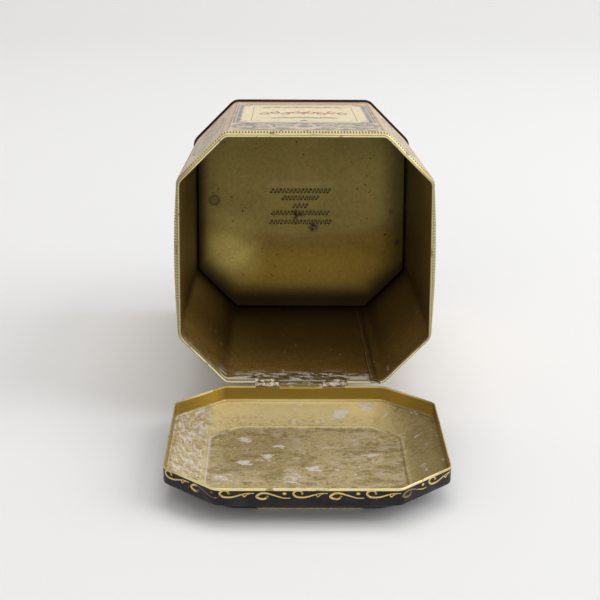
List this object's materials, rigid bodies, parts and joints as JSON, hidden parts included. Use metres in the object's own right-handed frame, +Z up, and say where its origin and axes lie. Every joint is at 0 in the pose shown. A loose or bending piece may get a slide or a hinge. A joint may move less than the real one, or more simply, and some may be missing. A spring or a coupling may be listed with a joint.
{
  "type": "hinged octagonal tin",
  "caption": "Tall octagonal tinplate storage tin lying on its back, its hinged lid swung open flat, with a necked mouth and a seamed base.",
  "frame": {"origin": "centre of the bounding box's bottom face, on the table the open lid and the base seam rest on", "axes": "+X across the tin, +Y from the open lid to the base, +Z up"},
  "size_m": [0.1104, 0.27, 0.1214],
  "materials": {
    "printed_tinplate": "worn satin litho print on tinplate, gold lacquer inside",
    "base_tinplate": "black japanned, gold lacquer inside",
    "lacquered_tinplate": "worn gold lacquer",
    "hinge_wire": "dull, lightly rusted",
    "lid_tinplate": "glossy black with gold ornament, gold lacquer inside"
  },
  "bodies": {
    "body": {"body_wall": "printed_tinplate", "base_panel": "base_tinplate", "body_hinge_leaf": "lacquered_tinplate", "hinge_wire": "hinge_wire"},
    "lid": {"lid_shell": "lid_tinplate"}
  },
  "joints": [
    {"name": "lid_hinge", "type": "hinge", "parent": "body", "child": "lid", "pos_m": [-0.0015, -0.02723, 0.01395], "axis": [1, 0, 0], "range_deg": [-95.11, 90]}
  ]
}
